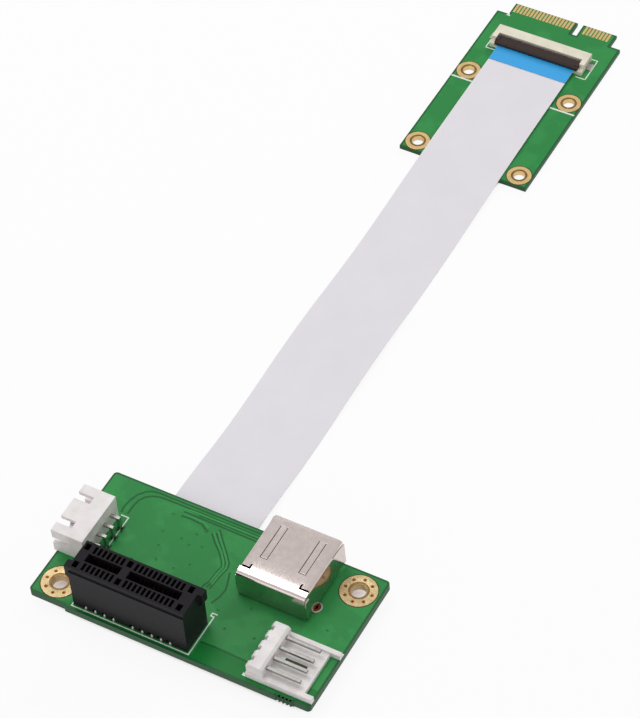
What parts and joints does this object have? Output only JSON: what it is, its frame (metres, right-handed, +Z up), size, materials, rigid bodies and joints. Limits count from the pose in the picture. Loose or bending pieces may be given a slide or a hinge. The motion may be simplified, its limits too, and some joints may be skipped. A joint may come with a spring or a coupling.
{
  "type": "pcie riser card",
  "caption": "Expansion riser: a small base board with an upright card slot, a USB socket and two pin headers, joined by a flat ribbon cable to a mini edge card.",
  "frame": {"origin": "centre of the footprint, on the surface that the assembly lies on", "axes": "+X to the right along the base board's front edge, +Y from the base board along the ribbon to the edge card's fingers, +Z up"},
  "size_m": [0.0616, 0.1892, 0.0148],
  "materials": {
    "laminate_green": "satin solder mask",
    "pad_gold": "satin gold plate",
    "slot_black": "fine moulded texture",
    "contact_gold": "polished",
    "shell_steel": "bright nickel plate",
    "insulator_dark": "moulded",
    "header_white": "moulded nylon",
    "pin_tin": "tin plate",
    "socket_cream": "moulded",
    "lock_brown": "moulded",
    "film_white": "satin film",
    "film_blue": "satin film"
  },
  "bodies": {
    "boards": {"base_board": "laminate_green", "base_hole_pads": "pad_gold", "slot_housing": "slot_black", "slot_contacts": "contact_gold", "usb_shell": "shell_steel", "usb_rear_cover": "shell_steel", "usb_insulator": "insulator_dark", "usb_contacts": "contact_gold", "power_housing": "header_white", "power_pins": "pin_tin", "header_housing": "header_white", "header_pins": "pin_tin", "base_socket_housing": "socket_cream", "base_socket_contacts": "pin_tin", "base_socket_hold_downs": "pin_tin", "mini_socket_housing": "socket_cream", "mini_socket_contacts": "pin_tin", "mini_socket_hold_downs": "pin_tin", "mini_board": "laminate_green", "mini_hole_pads": "pad_gold", "edge_fingers_top": "pad_gold", "edge_fingers_bottom": "pad_gold", "ribbon_cable": "film_white", "ribbon_stiffener_base": "film_blue", "ribbon_stiffener_mini": "film_blue"},
    "base_lock": {"base_socket_lock": "lock_brown"},
    "mini_lock": {"mini_socket_lock": "lock_brown"}
  },
  "joints": [
    {"name": "base_lock_flip", "type": "hinge", "parent": "boards", "child": "base_lock", "pos_m": [-0.0084, -0.07028, 0.00065], "axis": [-1, 0, 0], "range_deg": [0, 90]},
    {"name": "mini_lock_flip", "type": "hinge", "parent": "boards", "child": "mini_lock", "pos_m": [-0.0084, 0.08163, 0.0024], "axis": [-1, 0, 0], "range_deg": [0, 90]}
  ]
}
